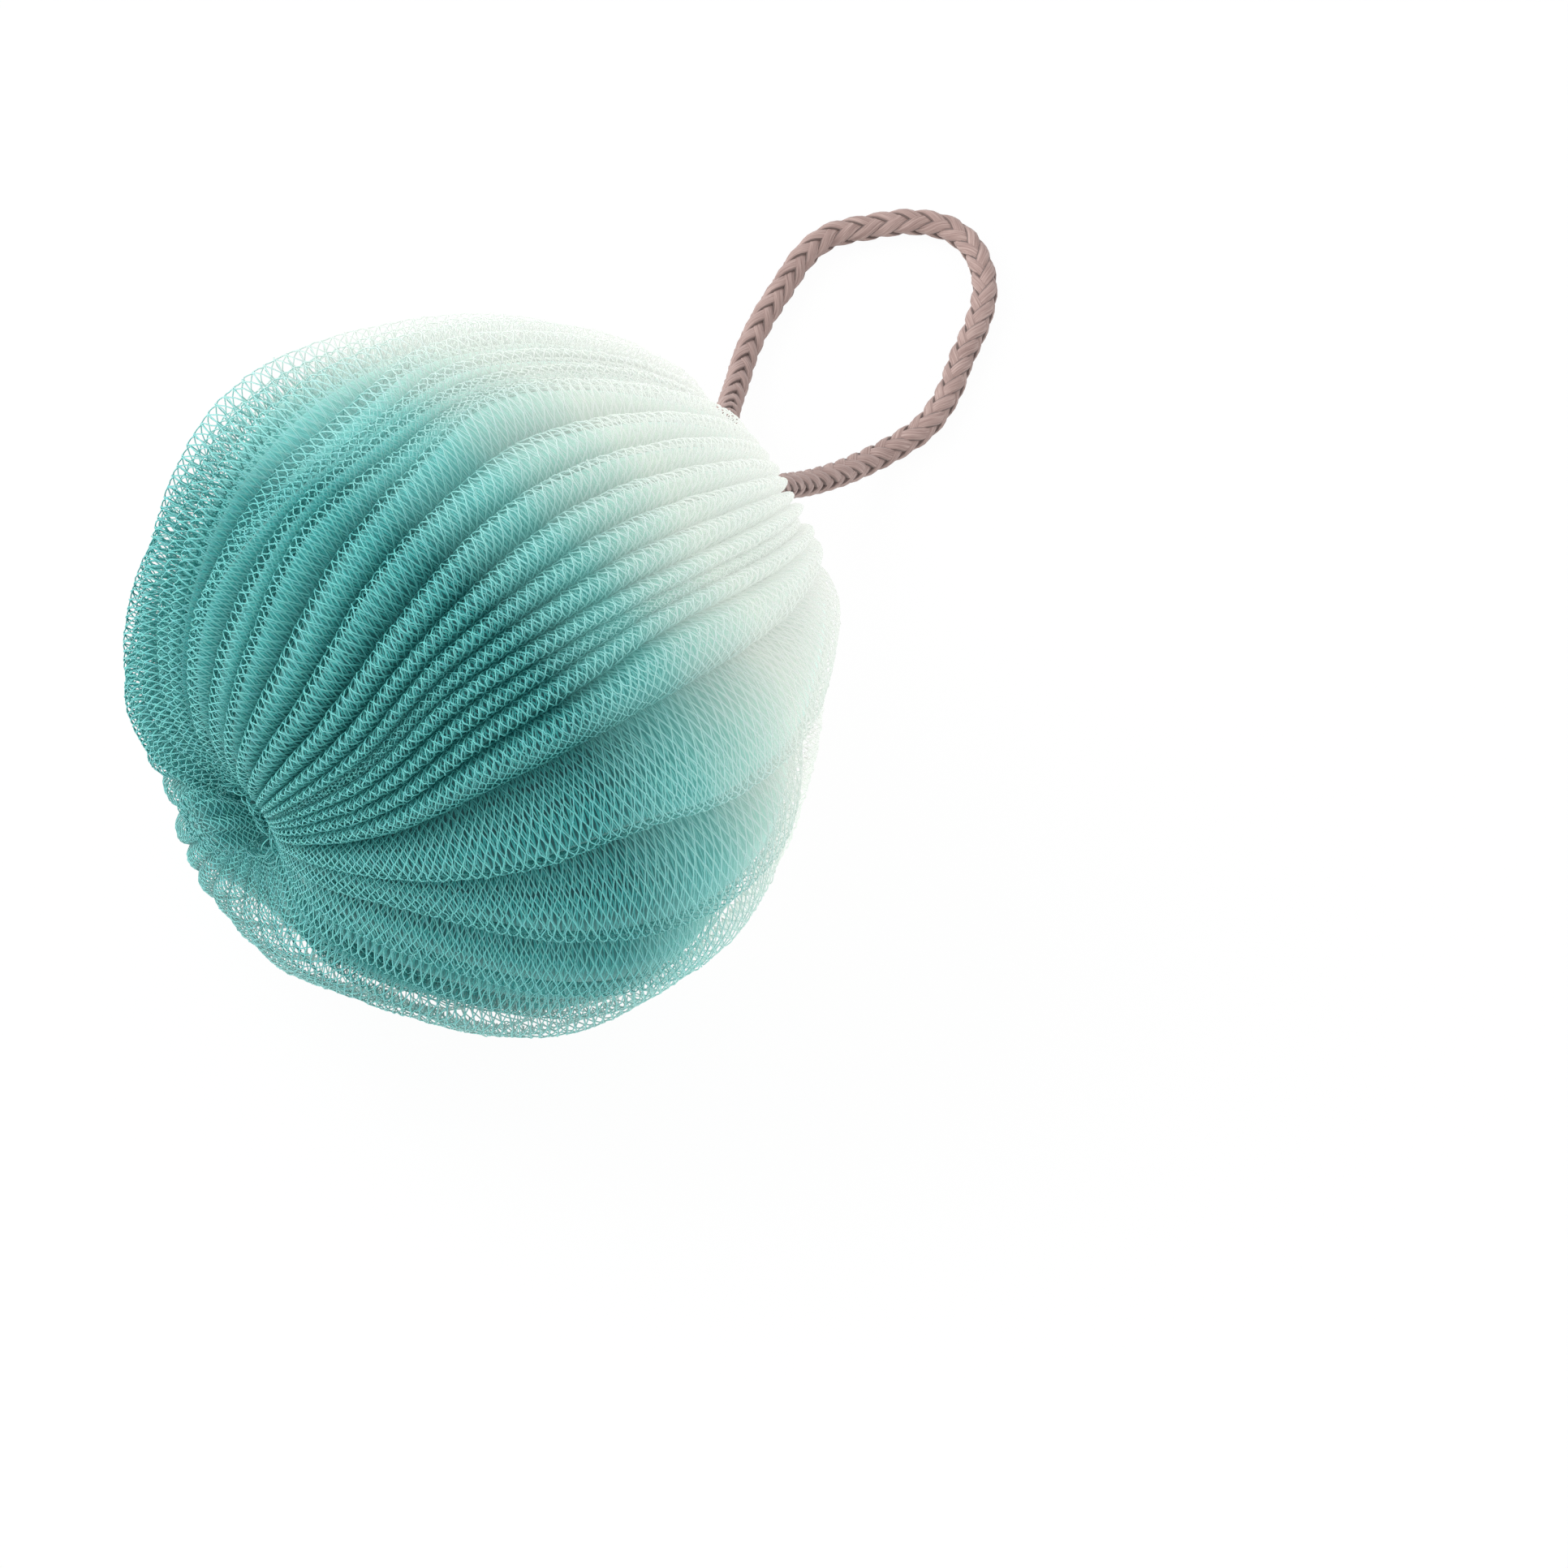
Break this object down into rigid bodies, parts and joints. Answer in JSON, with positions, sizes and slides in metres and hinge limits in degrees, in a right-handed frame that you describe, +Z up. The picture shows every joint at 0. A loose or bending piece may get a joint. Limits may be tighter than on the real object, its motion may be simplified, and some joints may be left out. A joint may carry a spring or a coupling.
{
  "type": "mesh bath pouf",
  "caption": "Round bath pouf of fine pleated netting, gathered at both poles, with a braided cord loop knotted at one gather for hanging.",
  "frame": {"origin": "middle of the net ball's footprint, on the surface it lies on", "axes": "+X along the ball's pleat axis from the plain teal gather to the knotted pale gather; +Z up"},
  "size_m": [0.2215, 0.1434, 0.1262],
  "materials": {
    "net": "fine knitted plastic netting, dyed from teal at the plain gather to pale mint white at the knotted gather",
    "cord": "matt braided cord, mauve brown"
  },
  "bodies": {
    "root": {"net_ball": "net", "hanging_cord": "cord", "cord_knot": "cord"}
  },
  "joints": []
}
